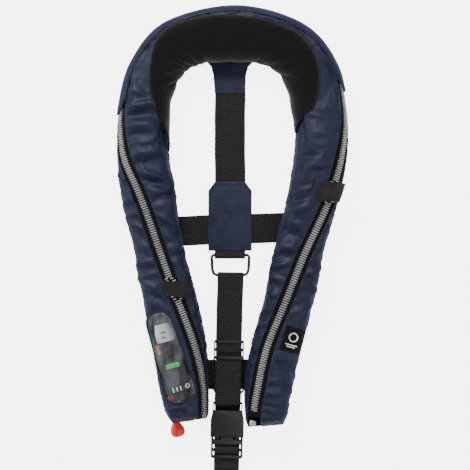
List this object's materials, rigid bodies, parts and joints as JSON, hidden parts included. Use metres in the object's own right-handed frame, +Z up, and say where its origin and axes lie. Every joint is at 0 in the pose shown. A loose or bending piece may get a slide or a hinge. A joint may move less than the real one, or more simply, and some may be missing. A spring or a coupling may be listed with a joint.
{
  "type": "inflatable life jacket",
  "caption": "Horseshoe inflatable life jacket with burst zip, fleece collar, waist belt, crotch strap and inflator behind a window.",
  "frame": {"origin": "centre of the back patch underside, where the jacket lies on the ground", "axes": "+Z up out of the front of the jacket, +Y towards the collar, +X to the wearer's left"},
  "size_m": [0.3022, 0.6186, 0.0527],
  "materials": {
    "navy_nylon": "matt woven nylon",
    "black_fleece": "brushed polyester fleece",
    "black_webbing": "woven polyester webbing",
    "zip_tape": "woven zip tape",
    "grey_zip": "moulded silver-grey plastic",
    "charcoal_fabric": "dark woven fabric",
    "clear_vinyl": "clear flexible vinyl",
    "orange_bladder": "coated nylon",
    "black_plastic": "moulded acetal",
    "grey_plastic": "translucent grey plastic",
    "green_plastic": "bright green indicator",
    "red_plastic": "gloss red plastic",
    "orange_plastic": "gloss orange plastic",
    "steel": "bare steel",
    "black_rubber": "moulded rubber"
  },
  "bodies": {
    "jacket": {"back_panel": "navy_nylon", "front_flap": "navy_nylon", "left_lobe_panel": "navy_nylon", "right_lobe_panel": "navy_nylon", "yoke_tab": "navy_nylon", "back_patch_front": "navy_nylon", "back_patch_rear": "navy_nylon", "belt_loop_left": "navy_nylon", "belt_loop_right": "navy_nylon", "collar_lining": "black_fleece", "back_strap": "black_webbing", "waist_belt": "black_webbing", "crotch_strap": "black_webbing", "zip_tape_inner": "zip_tape", "zip_tape_outer": "zip_tape", "zip_teeth_inner": "grey_zip", "zip_teeth_outer": "grey_zip", "zip_end_box": "grey_zip", "label": "charcoal_fabric", "window": "clear_vinyl", "bladder": "orange_bladder", "inflator_body": "black_plastic", "crotch_adjuster": "black_plastic", "buckle_female": "black_plastic", "oral_tube": "black_plastic", "ring": "black_plastic", "whistle": "orange_plastic", "lever_pin": "steel", "belt_buckle_loop": "steel", "belt_buckle_hook": "steel", "manifold_gasket": "black_rubber"},
    "slider_left": {"zip_slider_left": "grey_zip"},
    "slider_right": {"zip_slider_right": "grey_zip"},
    "flap_left": {"garage_flap_left": "charcoal_fabric"},
    "flap_right": {"garage_flap_right": "charcoal_fabric"},
    "toggle": {"pull_toggle": "red_plastic", "pull_lanyard": "red_plastic"},
    "lever": {"firing_lever": "red_plastic"},
    "indicator": {"status_indicator": "green_plastic"},
    "cartridge": {"auto_cartridge": "grey_plastic", "cartridge_cap": "black_plastic"},
    "cylinder": {"co2_cylinder": "steel"},
    "oral_cap": {"oral_tube_cap": "red_plastic"},
    "buckle_half": {"buckle_male": "black_plastic", "crotch_strap_lower": "black_webbing"},
    "prong_left": {"buckle_prong_left": "black_plastic"},
    "prong_right": {"buckle_prong_right": "black_plastic"}
  },
  "joints": [
    {"name": "slider_left_slide", "type": "slide", "parent": "jacket", "child": "slider_left", "axis": [-0.3484, 0.9373, 0.0091], "range_m": [0, 0.014]},
    {"name": "slider_right_slide", "type": "slide", "parent": "jacket", "child": "slider_right", "axis": [-0.3263, -0.9441, 0.0469], "range_m": [0, 0.014]},
    {"name": "flap_left_hinge", "type": "hinge", "parent": "jacket", "child": "flap_left", "pos_m": [-0.08523, -0.09305, 0.04683], "axis": [0.3484, -0.9373, -0.0091], "range_deg": [0, 100]},
    {"name": "flap_right_hinge", "type": "hinge", "parent": "jacket", "child": "flap_right", "pos_m": [0.14121, 0.03015, 0.03596], "axis": [0.3263, 0.9441, -0.0469], "range_deg": [0, 80]},
    {"name": "toggle_pull", "type": "slide", "parent": "jacket", "child": "toggle", "axis": [0.2639, -0.9646, 0], "range_m": [0, 0.02]},
    {"name": "lever_swing", "type": "hinge", "parent": "jacket", "child": "lever", "pos_m": [-0.06109, -0.23359, 0.016], "axis": [0, 0, 1], "range_deg": [0, 60]},
    {"name": "indicator_shift", "type": "slide", "parent": "jacket", "child": "indicator", "axis": [0.2639, -0.9646, 0], "range_m": [0, 0.003]},
    {"name": "cartridge_unscrew", "type": "hinge", "parent": "jacket", "child": "cartridge", "pos_m": [-0.08241, -0.16323, 0.027], "axis": [-0.2639, 0.9646, 0], "range_deg": [0, 540]},
    {"name": "cylinder_unscrew", "type": "hinge", "parent": "jacket", "child": "cylinder", "pos_m": [-0.04703, -0.19554, 0.027], "axis": [-0.2639, 0.9646, 0], "range_deg": [0, 1080]},
    {"name": "oral_cap_pull", "type": "slide", "parent": "jacket", "child": "oral_cap", "axis": [0.2317, 0.9728, 0], "range_m": [0, 0.012]},
    {"name": "buckle_release", "type": "slide", "parent": "jacket", "child": "buckle_half", "axis": [-0.0209, -0.9998, 0], "range_m": [0, 0.028]},
    {"name": "prong_left_press", "type": "hinge", "parent": "buckle_half", "child": "prong_left", "pos_m": [-0.01654, -0.28769, 0.017], "axis": [0, 0, -1], "range_deg": [0, 5], "stiffness_Nm_per_rad": 1},
    {"name": "prong_right_press", "type": "hinge", "parent": "buckle_half", "child": "prong_right", "pos_m": [0.00866, -0.28822, 0.017], "axis": [0, 0, 1], "range_deg": [0, 5], "stiffness_Nm_per_rad": 1}
  ],
  "couplings": [
    {"joint": "lever_swing", "follows": "toggle_pull", "rad_per_m": 52},
    {"joint": "indicator_shift", "follows": "toggle_pull", "ratio": 0.14},
    {"joint": "prong_right_press", "follows": "prong_left_press", "ratio": 1}
  ]
}
